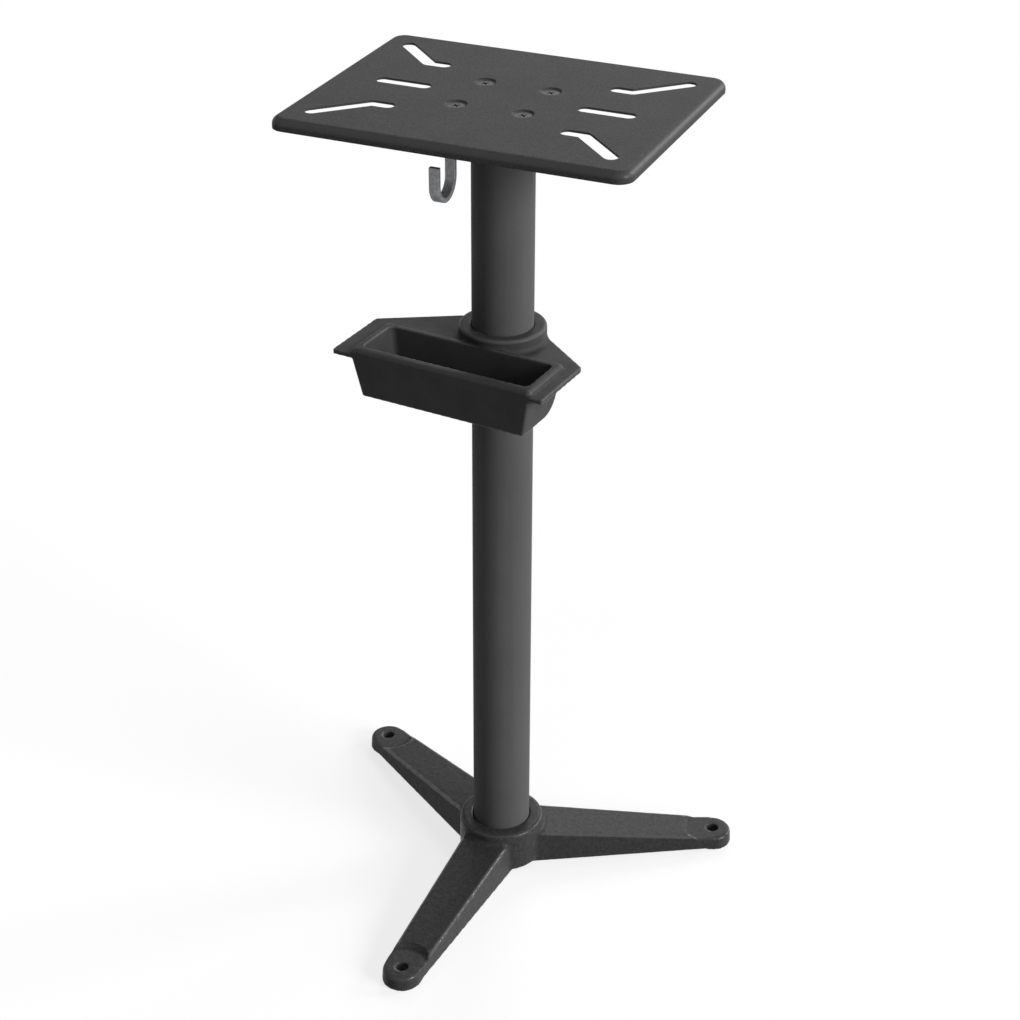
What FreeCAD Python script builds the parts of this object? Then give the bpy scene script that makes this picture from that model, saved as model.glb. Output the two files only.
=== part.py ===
import FreeCAD, Part
import math
import os

# Pedestal stand for a bench grinder.  Millimetres.
# Frame: origin on the column's axis at floor level, +Z up, +X along the long side of the
# top plate, -Y towards the front, where the tray hangs.

# ---------------------------------------------------------------- driving dimensions
STAND_HEIGHT = 813.0
COLUMN_RADIUS = 28.5
COLUMN_WALL = 3.2

# top plate: a pressed steel pan
PLATE_LENGTH = 324.5
PLATE_DEPTH = 255.5
SHEET_THICKNESS = 2.0
RIM_DROP = 10.3
EDGE_RADIUS = 7.0
CORNER_RADIUS = 14.0
SLOT_WIDTH = 13.0
STRAIGHT_SLOT_LENGTH = 52.5
STRAIGHT_SLOT_CENTRE_X = 95.0
CORNER_SLOT_INNER_X = 82.5
CORNER_SLOT_BEND_X = 97.0
CORNER_SLOT_BEND_Y = 58.0
CORNER_SLOT_RUN = 54.0

# head of the column: a square plate welded to the tube, bolted under the top plate
HEAD_PLATE_MARGIN = 15.0
HEAD_PLATE_THICKNESS = 6.0
HEAD_PLATE_CORNER = 8.0
WELD_LEG = 5.0
BOLT_CLEAR_OF_WELD = 0.84

# M8 countersunk bolts with washers and nuts
BOLT_RADIUS = 4.0
BOLT_LENGTH = 30.0
BOLT_HEAD_RADIUS = 8.0
BOLT_HEAD_RIM = 0.4
BOLT_SUNK = 1.6
RECESS_SPAN = 7.6
RECESS_WIDTH = 1.7
RECESS_DEPTH = 3.2
WASHER_RADIUS = 8.0
WASHER_THICKNESS = 1.6
LOCK_WASHER_RADIUS = 7.4
LOCK_WASHER_THICKNESS = 2.0
LOCK_WASHER_GAP = 1.4
LOCK_WASHER_RISE = 0.35
NUT_ACROSS_FLATS = 13.0
NUT_HEIGHT = 6.5
NUT_BEVEL = 0.9

# hook: a flat bar bent to a J, held under the front left bolt
HOOK_WIDTH = 9.5
HOOK_THICKNESS = 4.5
HOOK_EYE_RADIUS = 9.5
HOOK_REACH = 17.4
HOOK_SET_OVER = 2.7
HOOK_TOP_BEND = 5.0
HOOK_BEND_RADIUS = 16.5
HOOK_BEND_HEIGHT = 755.9
HOOK_TIP_HEIGHT = 773.4

# base: an iron casting with three hollow legs
BASE_TURN = -2.3
FOOT_CIRCLE_RADIUS = 220.5
FOOT_HOLE_RADIUS = 6.0
PAD_RADIUS = 18.7
PAD_FLOOR_RADIUS = 19.4
PAD_HEIGHT = 14.5
PAD_EDGE_RADIUS = 3.0
STEP_RADIUS = 25.0
STEP_SLOPE = 1.4
LEG_TOP_AT_HUB = 36.3
LEG_TOP_AT_FOOT = 15.3
LEG_HALF_WIDTH_AT_HUB = 25.8
LEG_HALF_WIDTH_AT_FOOT = 19.1
LEG_DRAFT_ANGLE = 2.0
LEG_EDGE_RADIUS = 3.5
LEG_FLOOR_GAP = 1.5
LEG_WALL = 5.0
LEG_ROOF = 6.0
LEG_RIB_THICKNESS = 4.0
HUB_WALL = 14.0
HUB_HEIGHT = 48.0
HUB_EDGE_RADIUS = 4.0
HUB_FILLET = 6.0
HUB_FLOOR = 8.0
HUB_FLOOR_GAP = 4.5
HUB_LEDGE = 10.5
HUB_MOUTH_WIDTH = 1.0
HUB_MOUTH_DEPTH = 1.0
COLUMN_FIT = 0.15
BASE_SCREW_RADIUS = 5.0
BASE_SCREW_LENGTH = 12.0
BASE_SCREW_HEIGHT = 26.0
BASE_SCREW_KEY = 5.0

# stop collar: a ring clamped on the column, which carries the tray
STOP_WALL = 9.5
STOP_HEIGHT = 20.0
STOP_BEVEL = 1.2
STOP_FIT = 0.3
STOP_SCREW_RADIUS = 4.0
STOP_SCREW_LENGTH = 8.0
STOP_SCREW_KEY = 4.0

# tray: one moulding of a collar, a flange and a trough with a raised rim
TRAY_TURN = -5.5
TRAY_HEIGHT = 587.5
TRAY_FIT = 0.35
COLLAR_WALL = 11.8
COLLAR_RISE = 13.0
COLLAR_DROP = 17.5
COLLAR_EDGE_RADIUS = 2.4
COLLAR_FILLET = 4.0
COLLAR_MOUTH_BEVEL = 0.6
FLANGE_THICKNESS = 4.5
FLANGE_LEFT = -120.3
FLANGE_RIGHT = 92.6
FLANGE_FRONT = -99.0
FLANGE_BACK = -24.0
FLANGE_CORNER = 4.0
SWELL_CENTRE = (-10.3, -2.4)
SWELL_MARGIN = 3.4
TROUGH_LEFT = -101.0
TROUGH_RIGHT = 80.2
TROUGH_CLEAR_OF_COLUMN = 8.0
TROUGH_DEPTH = 39.5
TROUGH_LEFT_SLANT = 10.2
TROUGH_RIGHT_SLANT = 5.2
TROUGH_BACK_SLANT = 9.5
TROUGH_BACK_ROUND = 18.5
TROUGH_WALL = 6.5
TROUGH_FRONT_WALL = 9.0
TROUGH_BACK_WALL = 4.0
TROUGH_FLOOR = 4.0
TROUGH_CORNER = 3.0
TROUGH_INNER_CORNER = 6.0
RIM_CORNER = 4.0
RIM_RISE = 5.0
RIM_WIDTH = 9.0

SEAT_GAP = 0.1
THREAD_GAP = 0.05
PAST = 1.0

# ---------------------------------------------------------------- sizes that follow
PLATE_UNDERSIDE = STAND_HEIGHT - SHEET_THICKNESS
HEAD_PLATE_UNDERSIDE = PLATE_UNDERSIDE - HEAD_PLATE_THICKNESS
BOLT_REACH = COLUMN_RADIUS + WELD_LEG + BOLT_CLEAR_OF_WELD + HOOK_EYE_RADIUS
HALF_BOLT_SPACING = BOLT_REACH * math.sqrt(0.5)
HEAD_PLATE_SIDE = 2 * (HALF_BOLT_SPACING + HEAD_PLATE_MARGIN)
BOLT_HEAD_TOP = STAND_HEIGHT - BOLT_SUNK
BOLT_HOLE_RADIUS = BOLT_RADIUS + 0.4
BOLT_CORNERS = [(-1, -1), (1, -1), (1, 1), (-1, 1)]
HOOK_BOLT = 0
HUB_RADIUS = COLUMN_RADIUS + HUB_WALL
HUB_BORE_RADIUS = COLUMN_RADIUS + COLUMN_FIT
HUB_FLOOR_HOLE_RADIUS = COLUMN_RADIUS - HUB_LEDGE
STOP_RADIUS = COLUMN_RADIUS + STOP_WALL
COLLAR_RADIUS = COLUMN_RADIUS + COLLAR_WALL
TROUGH_BACK = -(COLUMN_RADIUS + TROUGH_CLEAR_OF_COLUMN)
SWELL_RADIUS = COLLAR_RADIUS + SWELL_MARGIN
LEG_ANGLES = [-90 + BASE_TURN, 30 + BASE_TURN, 150 + BASE_TURN]
BASE_SCREW_ANGLE = 90 + BASE_TURN
STOP_SCREW_ANGLE = 90 + TRAY_TURN
COLLAR_TOP = TRAY_HEIGHT + COLLAR_RISE
COLLAR_BOTTOM = TRAY_HEIGHT - COLLAR_DROP
TROUGH_BOTTOM = TRAY_HEIGHT - TROUGH_DEPTH

Z_AXIS = FreeCAD.Vector(0, 0, 1)
ORIGIN = FreeCAD.Vector(0, 0, 0)


def point(x, y, z=0.0):
    """A point or direction in the stand's frame."""
    return FreeCAD.Vector(x, y, z)


def polar(radius, degrees, z=0.0):
    """A point at a radius and a bearing round the column's axis."""
    angle = math.radians(degrees)
    return point(radius * math.cos(angle), radius * math.sin(angle), z)


def save(shape, name):
    """Write one sub-part to its own STEP file."""
    if not shape.isValid():
        raise ValueError(name + " is not a valid solid")
    shape.exportStep("parts/" + name + ".step")
    print(name, len(shape.Solids), round(shape.Volume / 1000.0, 2), "cm3")


def turned(shape, degrees):
    """The shape turned about the column's axis."""
    copy = shape.copy()
    copy.rotate(ORIGIN, Z_AXIS, degrees)
    return copy


def cylinder(radius, height, base, direction=Z_AXIS):
    """A plain cylinder."""
    return Part.makeCylinder(radius, height, base, direction)


def revolved(profile):
    """A solid of revolution about the column's axis from a closed profile in X and Z."""
    face = Part.Face(Part.Wire(profile))
    return face.revolve(ORIGIN, Z_AXIS, 360)


def revolved_corners(corners):
    """A solid of revolution about the column's axis from the corners of a straight-sided profile."""
    return revolved(Part.makePolygon(corners + corners[:1]).Edges)


def eased_corner(radius, top, ease):
    """The profile points of a top outer corner that is eased in two bevels, from low to high."""
    lift = ease * math.sqrt(0.5)
    return [point(radius, 0, top - ease), point(radius - ease + lift, 0, top - ease + lift),
            point(radius - ease, 0, top)]


def corner_arc(before, corner, after, radius):
    """The arc of the given radius that rounds a corner between two straight runs."""
    into = (before - corner).normalize()
    out = (after - corner).normalize()
    half = into.getAngle(out) / 2
    reach = radius / math.tan(half)
    centre = corner + (into + out).normalize() * (radius / math.sin(half))
    start = corner + into * reach
    end = corner + out * reach
    middle = centre + (corner - centre).normalize() * radius
    return start, middle, end


def rounded_outline(corners):
    """A closed wire through (point, radius) corners, each rounded by its own radius."""
    count = len(corners)
    edges = []
    arcs = []
    for index, (corner, radius) in enumerate(corners):
        before = corners[index - 1][0]
        after = corners[(index + 1) % count][0]
        if radius > 0:
            arcs.append(corner_arc(before, corner, after, radius))
        else:
            arcs.append((corner, None, corner))
    for index, (start, middle, end) in enumerate(arcs):
        if middle is not None:
            edges.append(bend(start, middle, end))
        next_start = arcs[(index + 1) % count][0]
        if end.distanceToPoint(next_start) > 1e-6:
            edges.append(run(end, next_start))
    return Part.Wire(edges)


def rounded_slab(length, depth, low, high, corner):
    """An upright slab, centred on the axis, with rounded upright corners."""
    x = length / 2
    y = depth / 2
    outline = [(point(-x, -y, low), corner), (point(x, -y, low), corner),
               (point(x, y, low), corner), (point(-x, y, low), corner)]
    return Part.Face(rounded_outline(outline)).extrude(point(0, 0, high - low))


def edges_at_height(shape, z):
    """The edges that lie wholly at one height."""
    return [edge for edge in shape.Edges
            if all(abs(vertex.Z - z) < 1e-4 for vertex in edge.Vertexes)
            and abs(edge.CenterOfMass.z - z) < 1e-4]


def run(start, end):
    """A straight edge."""
    return Part.LineSegment(start, end).toShape()


def bend(start, middle, end):
    """An arc edge through three points."""
    return Part.Arc(start, middle, end).toShape()


def cone(low_radius, high_radius, low, high, x=0.0, y=0.0):
    """An upright cone frustum."""
    return Part.makeCone(low_radius, high_radius, high - low, point(x, y, low))


def socket_screw(radius, length, key, tip_radius, degrees, height):
    """A set screw that points at the column, with a hexagon socket in its outer end."""
    axis = polar(1.0, degrees)
    tip = polar(tip_radius, degrees, height)
    bevel = radius * 0.25
    body = cylinder(radius, length - 2 * bevel, tip + axis * bevel, axis)
    point_end = Part.makeCone(radius - bevel, radius, bevel, tip, axis)
    outer_end = Part.makeCone(radius, radius - bevel, bevel, tip + axis * (length - bevel), axis)
    screw = body.fuse([point_end, outer_end])
    key_radius = key / math.sqrt(3)
    side = Z_AXIS.cross(axis)
    mouth = tip + axis * (length - key)
    corners = []
    for step in range(7):
        angle = math.radians(60 * step)
        across = side * (key_radius * math.cos(angle))
        corners.append(mouth + across + Z_AXIS * (key_radius * math.sin(angle)))
    socket = Part.Face(Part.makePolygon(corners)).extrude(axis * (key + PAST))
    return screw.cut(socket).removeSplitter()


# ---------------------------------------------------------------- top plate and its bolts
def slot_run(start, end, low, high):
    """One straight run of a slot, with round ends, as a solid to cut away."""
    along = (end - start).normalize()
    side = Z_AXIS.cross(along) * (SLOT_WIDTH / 2)
    lift = point(0, 0, low)
    wire = Part.Wire([
        run(start + side + lift, end + side + lift),
        bend(end + side + lift, end + along * (SLOT_WIDTH / 2) + lift, end - side + lift),
        run(end - side + lift, start - side + lift),
        bend(start - side + lift, start - along * (SLOT_WIDTH / 2) + lift, start + side + lift),
    ])
    return Part.Face(wire).extrude(point(0, 0, high - low))


def plate_slots():
    """The two straight slots and the four bent corner slots, as solids to cut away."""
    low = PLATE_UNDERSIDE - PAST
    high = STAND_HEIGHT + PAST
    half_run = (STRAIGHT_SLOT_LENGTH - SLOT_WIDTH) / 2
    reach = CORNER_SLOT_RUN / math.sqrt(2)
    cutters = []
    for side in (-1, 1):
        near = point(side * (STRAIGHT_SLOT_CENTRE_X - half_run), 0)
        far = point(side * (STRAIGHT_SLOT_CENTRE_X + half_run), 0)
        cutters.append(slot_run(near, far, low, high))
        for end in (-1, 1):
            inner = point(side * CORNER_SLOT_INNER_X, end * CORNER_SLOT_BEND_Y)
            turn = point(side * CORNER_SLOT_BEND_X, end * CORNER_SLOT_BEND_Y)
            outer = turn + point(side * reach, end * reach)
            cutters.append(slot_run(inner, turn, low, high).fuse(slot_run(turn, outer, low, high)))
    return cutters


def dimple_radius(z):
    """Inner radius of a bolt dimple, a 90 degree countersink, at a height."""
    return BOLT_HEAD_RADIUS + SEAT_GAP * math.sqrt(2) + z - (BOLT_HEAD_TOP - BOLT_HEAD_RIM)


def build_top_plate():
    """The pressed pan: rounded rim all round, slots, and four dimples for the bolts."""
    rim_bottom = STAND_HEIGHT - RIM_DROP
    outer = rounded_slab(PLATE_LENGTH, PLATE_DEPTH, rim_bottom, STAND_HEIGHT, CORNER_RADIUS)
    outer = outer.makeFillet(EDGE_RADIUS, edges_at_height(outer, STAND_HEIGHT))
    inner = rounded_slab(PLATE_LENGTH - 2 * SHEET_THICKNESS, PLATE_DEPTH - 2 * SHEET_THICKNESS,
                         rim_bottom - PAST, PLATE_UNDERSIDE, CORNER_RADIUS - SHEET_THICKNESS)
    inner = inner.makeFillet(EDGE_RADIUS - SHEET_THICKNESS, edges_at_height(inner, PLATE_UNDERSIDE))
    pan = outer.cut(inner)
    floor = STAND_HEIGHT - (dimple_radius(STAND_HEIGHT) - BOLT_HOLE_RADIUS)
    sheet_run = SHEET_THICKNESS * math.sqrt(2)
    for sx, sy in BOLT_CORNERS:
        x = sx * HALF_BOLT_SPACING
        y = sy * HALF_BOLT_SPACING
        boss = cone(BOLT_HOLE_RADIUS + sheet_run, dimple_radius(PLATE_UNDERSIDE) + sheet_run,
                    floor, PLATE_UNDERSIDE, x, y)
        hollow = cone(BOLT_HOLE_RADIUS, dimple_radius(STAND_HEIGHT), floor, STAND_HEIGHT, x, y)
        pan = pan.fuse(boss).cut(hollow).cut(cylinder(BOLT_HOLE_RADIUS, RIM_DROP, point(x, y, rim_bottom)))
    return pan.cut(plate_slots()).removeSplitter()


def build_head_plate():
    """The square plate at the column's head, countersunk where the dimples nest in it."""
    plate = rounded_slab(HEAD_PLATE_SIDE, HEAD_PLATE_SIDE, HEAD_PLATE_UNDERSIDE, PLATE_UNDERSIDE,
                         HEAD_PLATE_CORNER)
    sheet_run = SHEET_THICKNESS * math.sqrt(2)
    floor = STAND_HEIGHT - (dimple_radius(STAND_HEIGHT) - BOLT_HOLE_RADIUS) - SEAT_GAP
    wide = dimple_radius(PLATE_UNDERSIDE) + sheet_run + SEAT_GAP
    narrow = BOLT_HOLE_RADIUS + sheet_run
    for sx, sy in BOLT_CORNERS:
        x = sx * HALF_BOLT_SPACING
        y = sy * HALF_BOLT_SPACING
        plate = plate.cut(cone(narrow, wide, floor, PLATE_UNDERSIDE, x, y))
        plate = plate.cut(cylinder(BOLT_HOLE_RADIUS, HEAD_PLATE_THICKNESS,
                                   point(x, y, HEAD_PLATE_UNDERSIDE)))
    return plate.removeSplitter()


def build_weld_bead():
    """The fillet weld between the tube and the head plate."""
    inner = COLUMN_RADIUS + THREAD_GAP
    top = HEAD_PLATE_UNDERSIDE
    return revolved([
        run(point(inner, 0, top), point(inner + WELD_LEG, 0, top)),
        run(point(inner + WELD_LEG, 0, top), point(inner, 0, top - WELD_LEG)),
        run(point(inner, 0, top - WELD_LEG), point(inner, 0, top)),
    ])


def build_column():
    """The steel tube, from the floor of the hub's bore to the head plate."""
    length = HEAD_PLATE_UNDERSIDE - HUB_FLOOR
    tube = cylinder(COLUMN_RADIUS, length, point(0, 0, HUB_FLOOR))
    return tube.cut(cylinder(COLUMN_RADIUS - COLUMN_WALL, length, point(0, 0, HUB_FLOOR)))


def build_bolt(x, y):
    """A countersunk bolt with a cross recess."""
    cone_top = BOLT_HEAD_TOP - BOLT_HEAD_RIM
    cone_height = BOLT_HEAD_RADIUS - BOLT_RADIUS
    rim = cylinder(BOLT_HEAD_RADIUS, BOLT_HEAD_RIM, point(x, y, cone_top))
    head = cone(BOLT_RADIUS, BOLT_HEAD_RADIUS, cone_top - cone_height, cone_top, x, y)
    bottom = BOLT_HEAD_TOP - BOLT_LENGTH
    bevel = BOLT_RADIUS * 0.25
    shank = cylinder(BOLT_RADIUS, cone_top - cone_height - bottom - bevel, point(x, y, bottom + bevel))
    tip = cone(BOLT_RADIUS - bevel, BOLT_RADIUS, bottom, bottom + bevel, x, y)
    bolt = rim.fuse([head, shank, tip])
    wing = point(RECESS_SPAN / 2, 0)
    half = RECESS_WIDTH / 2
    foot = RECESS_SPAN * 0.22
    top = BOLT_HEAD_TOP + PAST
    profile = Part.makePolygon([
        point(-wing.x - PAST * 0.5, -half, top), point(wing.x + PAST * 0.5, -half, top),
        point(foot, -half, BOLT_HEAD_TOP - RECESS_DEPTH), point(-foot, -half, BOLT_HEAD_TOP - RECESS_DEPTH),
        point(-wing.x - PAST * 0.5, -half, top),
    ])
    blade = Part.Face(profile).extrude(point(0, RECESS_WIDTH, 0))
    for degrees in (45, 135):
        wing_cut = turned(blade, degrees)
        wing_cut.translate(point(x, y))
        bolt = bolt.cut(wing_cut)
    return bolt.removeSplitter()


def build_washer(x, y, top):
    """A flat washer."""
    ring = cylinder(WASHER_RADIUS, WASHER_THICKNESS, point(x, y, top - WASHER_THICKNESS))
    return ring.cut(cylinder(BOLT_HOLE_RADIUS, WASHER_THICKNESS, point(x, y, top - WASHER_THICKNESS)))


def build_lock_washer(x, y, top):
    """A split spring washer, closed flat by the nut, with its slanted gap."""
    low = top - LOCK_WASHER_THICKNESS
    ring = cylinder(LOCK_WASHER_RADIUS, LOCK_WASHER_THICKNESS, point(x, y, low))
    ring = ring.cut(cylinder(BOLT_RADIUS + SEAT_GAP, LOCK_WASHER_THICKNESS, point(x, y, low)))
    lean = LOCK_WASHER_RISE * LOCK_WASHER_THICKNESS
    corners = [
        point(x + 1, y - lean, low), point(x + 1, y - lean + LOCK_WASHER_GAP, low),
        point(x + 1, y + lean + LOCK_WASHER_GAP, top), point(x + 1, y + lean, top),
        point(x + 1, y - lean, low),
    ]
    gap = Part.Face(Part.makePolygon(corners)).extrude(point(LOCK_WASHER_RADIUS, 0, 0))
    return ring.cut(gap)


def build_nut(x, y, top):
    """A hexagon nut with both faces bevelled."""
    low = top - NUT_HEIGHT
    corner_radius = NUT_ACROSS_FLATS / math.sqrt(3)
    corners = [polar(corner_radius, 60 * step, low) + point(x, y) for step in range(7)]
    prism = Part.Face(Part.makePolygon(corners)).extrude(point(0, 0, NUT_HEIGHT))
    face_radius = NUT_ACROSS_FLATS / 2 - NUT_BEVEL * 0.3
    slope = (corner_radius - face_radius) * 0.6
    waist = cylinder(corner_radius, NUT_HEIGHT - 2 * slope, point(x, y, low + slope))
    lower = cone(face_radius, corner_radius, low, low + slope, x, y)
    upper = cone(corner_radius, face_radius, top - slope, top, x, y)
    body = prism.common(waist.fuse([lower, upper]))
    return body.cut(cylinder(BOLT_RADIUS + THREAD_GAP, NUT_HEIGHT, point(x, y, low))).removeSplitter()


def build_hook():
    """The J hook: an eye on the bolt, a reach forward, a bend down and a wide bend up again."""
    side_x, side_y = BOLT_CORNERS[HOOK_BOLT]
    eye = point(side_x * HALF_BOLT_SPACING, side_y * HALF_BOLT_SPACING)
    x = eye.x + HOOK_SET_OVER
    stem_y = eye.y - HOOK_REACH
    tip_y = stem_y - 2 * HOOK_BEND_RADIUS
    low = HEAD_PLATE_UNDERSIDE - HOOK_THICKNESS
    flat = HEAD_PLATE_UNDERSIDE - HOOK_THICKNESS / 2
    turn = HOOK_TOP_BEND * math.sqrt(0.5)
    path = Part.Wire([
        run(point(x, eye.y, flat), point(x, stem_y + HOOK_TOP_BEND, flat)),
        bend(point(x, stem_y + HOOK_TOP_BEND, flat),
             point(x, stem_y + HOOK_TOP_BEND - turn, flat - HOOK_TOP_BEND + turn),
             point(x, stem_y, flat - HOOK_TOP_BEND)),
        run(point(x, stem_y, flat - HOOK_TOP_BEND), point(x, stem_y, HOOK_BEND_HEIGHT)),
        bend(point(x, stem_y, HOOK_BEND_HEIGHT),
             point(x, stem_y - HOOK_BEND_RADIUS, HOOK_BEND_HEIGHT - HOOK_BEND_RADIUS),
             point(x, tip_y, HOOK_BEND_HEIGHT)),
        run(point(x, tip_y, HOOK_BEND_HEIGHT), point(x, tip_y, HOOK_TIP_HEIGHT)),
    ])
    half = HOOK_WIDTH / 2
    section = Part.makePolygon([
        point(x - half, eye.y, low), point(x + half, eye.y, low),
        point(x + half, eye.y, HEAD_PLATE_UNDERSIDE), point(x - half, eye.y, HEAD_PLATE_UNDERSIDE),
        point(x - half, eye.y, low),
    ])
    bar = path.makePipeShell([section], True, True)
    hook = bar.fuse(cylinder(HOOK_EYE_RADIUS, HOOK_THICKNESS, eye + point(0, 0, low)))
    hook = hook.cut(cylinder(BOLT_HOLE_RADIUS, HOOK_THICKNESS, eye + point(0, 0, low)))
    return hook.removeSplitter()


# ---------------------------------------------------------------- base casting
def leg_top(radius):
    """Height of a leg's top surface at a distance from the column's axis."""
    share = (radius - HUB_RADIUS) / (FOOT_CIRCLE_RADIUS - HUB_RADIUS)
    return LEG_TOP_AT_HUB + (LEG_TOP_AT_FOOT - LEG_TOP_AT_HUB) * share


def leg_half_width(radius, height):
    """Half width of a leg at a distance from the axis and a height, with its draft."""
    share = (radius - HUB_RADIUS) / (FOOT_CIRCLE_RADIUS - HUB_RADIUS)
    at_floor = LEG_HALF_WIDTH_AT_HUB + (LEG_HALF_WIDTH_AT_FOOT - LEG_HALF_WIDTH_AT_HUB) * share
    return at_floor - height * math.tan(math.radians(LEG_DRAFT_ANGLE))


def leg_section(radius, low, roof, wall):
    """The corners of a leg's cross-section at a distance from the axis, inside a roof and a wall."""
    high = leg_top(radius) - roof
    wide = leg_half_width(radius, low) - wall
    narrow = leg_half_width(radius, high) - wall
    return [point(radius, -wide, low), point(radius, wide, low),
            point(radius, narrow, high), point(radius, -narrow, high)]


def tapered_beam(near, far):
    """A solid with flat sides between two four-cornered sections."""
    faces = [Part.Face(Part.makePolygon(near[::-1] + near[-1:])), Part.Face(Part.makePolygon(far + far[:1]))]
    for index in range(4):
        after = (index + 1) % 4
        side = [near[index], near[after], far[after], far[index], near[index]]
        faces.append(Part.Face(Part.makePolygon(side)))
    skin = Part.Shell(faces)
    skin.sewShape()
    return Part.makeSolid(skin)


def build_leg():
    """One leg along +X: a tapered beam with a scooped step at its end, and the round foot pad."""
    beam = tapered_beam(leg_section(0.0, LEG_FLOOR_GAP, 0, 0),
                        leg_section(FOOT_CIRCLE_RADIUS, LEG_FLOOR_GAP, 0, 0))
    top_edges = [edge for edge in beam.Edges
                 if edge.Length > HUB_RADIUS * 2 and edge.CenterOfMass.z > PAD_HEIGHT / 2]
    beam = beam.makeFillet(LEG_EDGE_RADIUS, top_edges)
    rise = LEG_TOP_AT_HUB - PAD_HEIGHT
    step = Part.makeCone(STEP_RADIUS, STEP_RADIUS + STEP_SLOPE * rise, rise,
                         point(FOOT_CIRCLE_RADIUS, 0, PAD_HEIGHT))
    beam = beam.cut(step)
    return beam, build_pad()


def build_pad():
    """The round foot pad at the end of a leg, its top edge eased in two bevels."""
    corners = [point(0, 0, 0), point(PAD_FLOOR_RADIUS, 0, 0)]
    corners += eased_corner(PAD_RADIUS, PAD_HEIGHT, PAD_EDGE_RADIUS)
    corners.append(point(0, 0, PAD_HEIGHT))
    pad = revolved_corners(corners)
    pad.translate(point(FOOT_CIRCLE_RADIUS, 0, 0))
    return pad


def build_leg_hollow(inner_radius, outer_radius):
    """The space under a leg's roof, split along the middle by a rib."""
    space = tapered_beam(leg_section(inner_radius, 0.0, LEG_ROOF, LEG_WALL),
                         leg_section(outer_radius, 0.0, LEG_ROOF, LEG_WALL))
    rib = Part.makeBox(FOOT_CIRCLE_RADIUS, LEG_RIB_THICKNESS, HUB_HEIGHT,
                       point(0, -LEG_RIB_THICKNESS / 2, 0))
    return space.cut(rib)


def build_hub():
    """The hub: a ring with an eased top edge, before its bore is cut."""
    corners = [point(0, 0, HUB_FLOOR_GAP), point(HUB_RADIUS, 0, HUB_FLOOR_GAP)]
    corners += eased_corner(HUB_RADIUS, HUB_HEIGHT, HUB_EDGE_RADIUS)
    corners.append(point(0, 0, HUB_HEIGHT))
    return revolved_corners(corners)


def junction_edges(shape):
    """The edges where the legs run into the hub's wall, all round each leg."""
    found = []
    for edge in shape.Edges:
        if len(edge.Vertexes) < 2:
            continue
        ends = [vertex.Point for vertex in edge.Vertexes]
        middle = edge.valueAt((edge.FirstParameter + edge.LastParameter) / 2)
        on_wall = True
        for spot in ends + [middle]:
            reach = math.hypot(spot.x, spot.y)
            if abs(reach - HUB_RADIUS) > 0.01:
                on_wall = False
        flat = abs(ends[0].z - HUB_FLOOR_GAP) < 1e-3 and abs(ends[1].z - HUB_FLOOR_GAP) < 1e-3
        high = max(ends[0].z, ends[1].z) > LEG_TOP_AT_HUB + 3
        if on_wall and not flat and not high:
            found.append(edge)
    return found


def build_base():
    """The tripod casting: hub, three hollow legs, foot pads, bore and screw holes."""
    beam, pad = build_leg()
    body = build_hub()
    body = body.fuse([turned(beam, degrees) for degrees in LEG_ANGLES])
    body = body.makeFillet(HUB_FILLET, junction_edges(body))
    body = body.fuse([turned(pad, degrees) for degrees in LEG_ANGLES])
    hollow_start = HUB_RADIUS + LEG_WALL
    hollow_end = FOOT_CIRCLE_RADIUS - STEP_RADIUS - LEG_WALL
    hollow = build_leg_hollow(hollow_start, hollow_end)
    foot_hole = cylinder(FOOT_HOLE_RADIUS, PAD_HEIGHT + 2 * PAST, point(FOOT_CIRCLE_RADIUS, 0, -PAST))
    cutters = []
    for degrees in LEG_ANGLES:
        cutters.append(turned(hollow, degrees))
        cutters.append(turned(foot_hole, degrees))
    cutters.append(cylinder(BASE_SCREW_RADIUS + THREAD_GAP, HUB_RADIUS,
                            polar(COLUMN_RADIUS - COLUMN_WALL, BASE_SCREW_ANGLE, BASE_SCREW_HEIGHT),
                            polar(1.0, BASE_SCREW_ANGLE)))
    cutters.append(cylinder(HUB_BORE_RADIUS, HUB_HEIGHT, point(0, 0, HUB_FLOOR)))
    cutters.append(cylinder(HUB_FLOOR_HOLE_RADIUS, HUB_HEIGHT, point(0, 0, 0)))
    cutters.append(cone(HUB_BORE_RADIUS, HUB_BORE_RADIUS + HUB_MOUTH_WIDTH,
                        HUB_HEIGHT - HUB_MOUTH_DEPTH, HUB_HEIGHT))
    return body.cut(cutters).removeSplitter()


# ---------------------------------------------------------------- stop collar
def build_stop_collar():
    """The ring that carries the tray, bevelled at its outer edges, with a screw hole."""
    low = COLLAR_BOTTOM - STOP_HEIGHT
    ring = cylinder(STOP_RADIUS, STOP_HEIGHT - 2 * STOP_BEVEL, point(0, 0, low + STOP_BEVEL))
    lower = cone(STOP_RADIUS - STOP_BEVEL, STOP_RADIUS, low, low + STOP_BEVEL)
    upper = cone(STOP_RADIUS, STOP_RADIUS - STOP_BEVEL, COLLAR_BOTTOM - STOP_BEVEL, COLLAR_BOTTOM)
    ring = ring.fuse([lower, upper])
    ring = ring.cut(cylinder(COLUMN_RADIUS + STOP_FIT, STOP_HEIGHT, point(0, 0, low)))
    hole = cylinder(STOP_SCREW_RADIUS + THREAD_GAP, STOP_RADIUS,
                    polar(COLUMN_RADIUS - COLUMN_WALL, STOP_SCREW_ANGLE, low + STOP_HEIGHT / 2),
                    polar(1.0, STOP_SCREW_ANGLE))
    return ring.cut(hole).removeSplitter()


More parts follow.
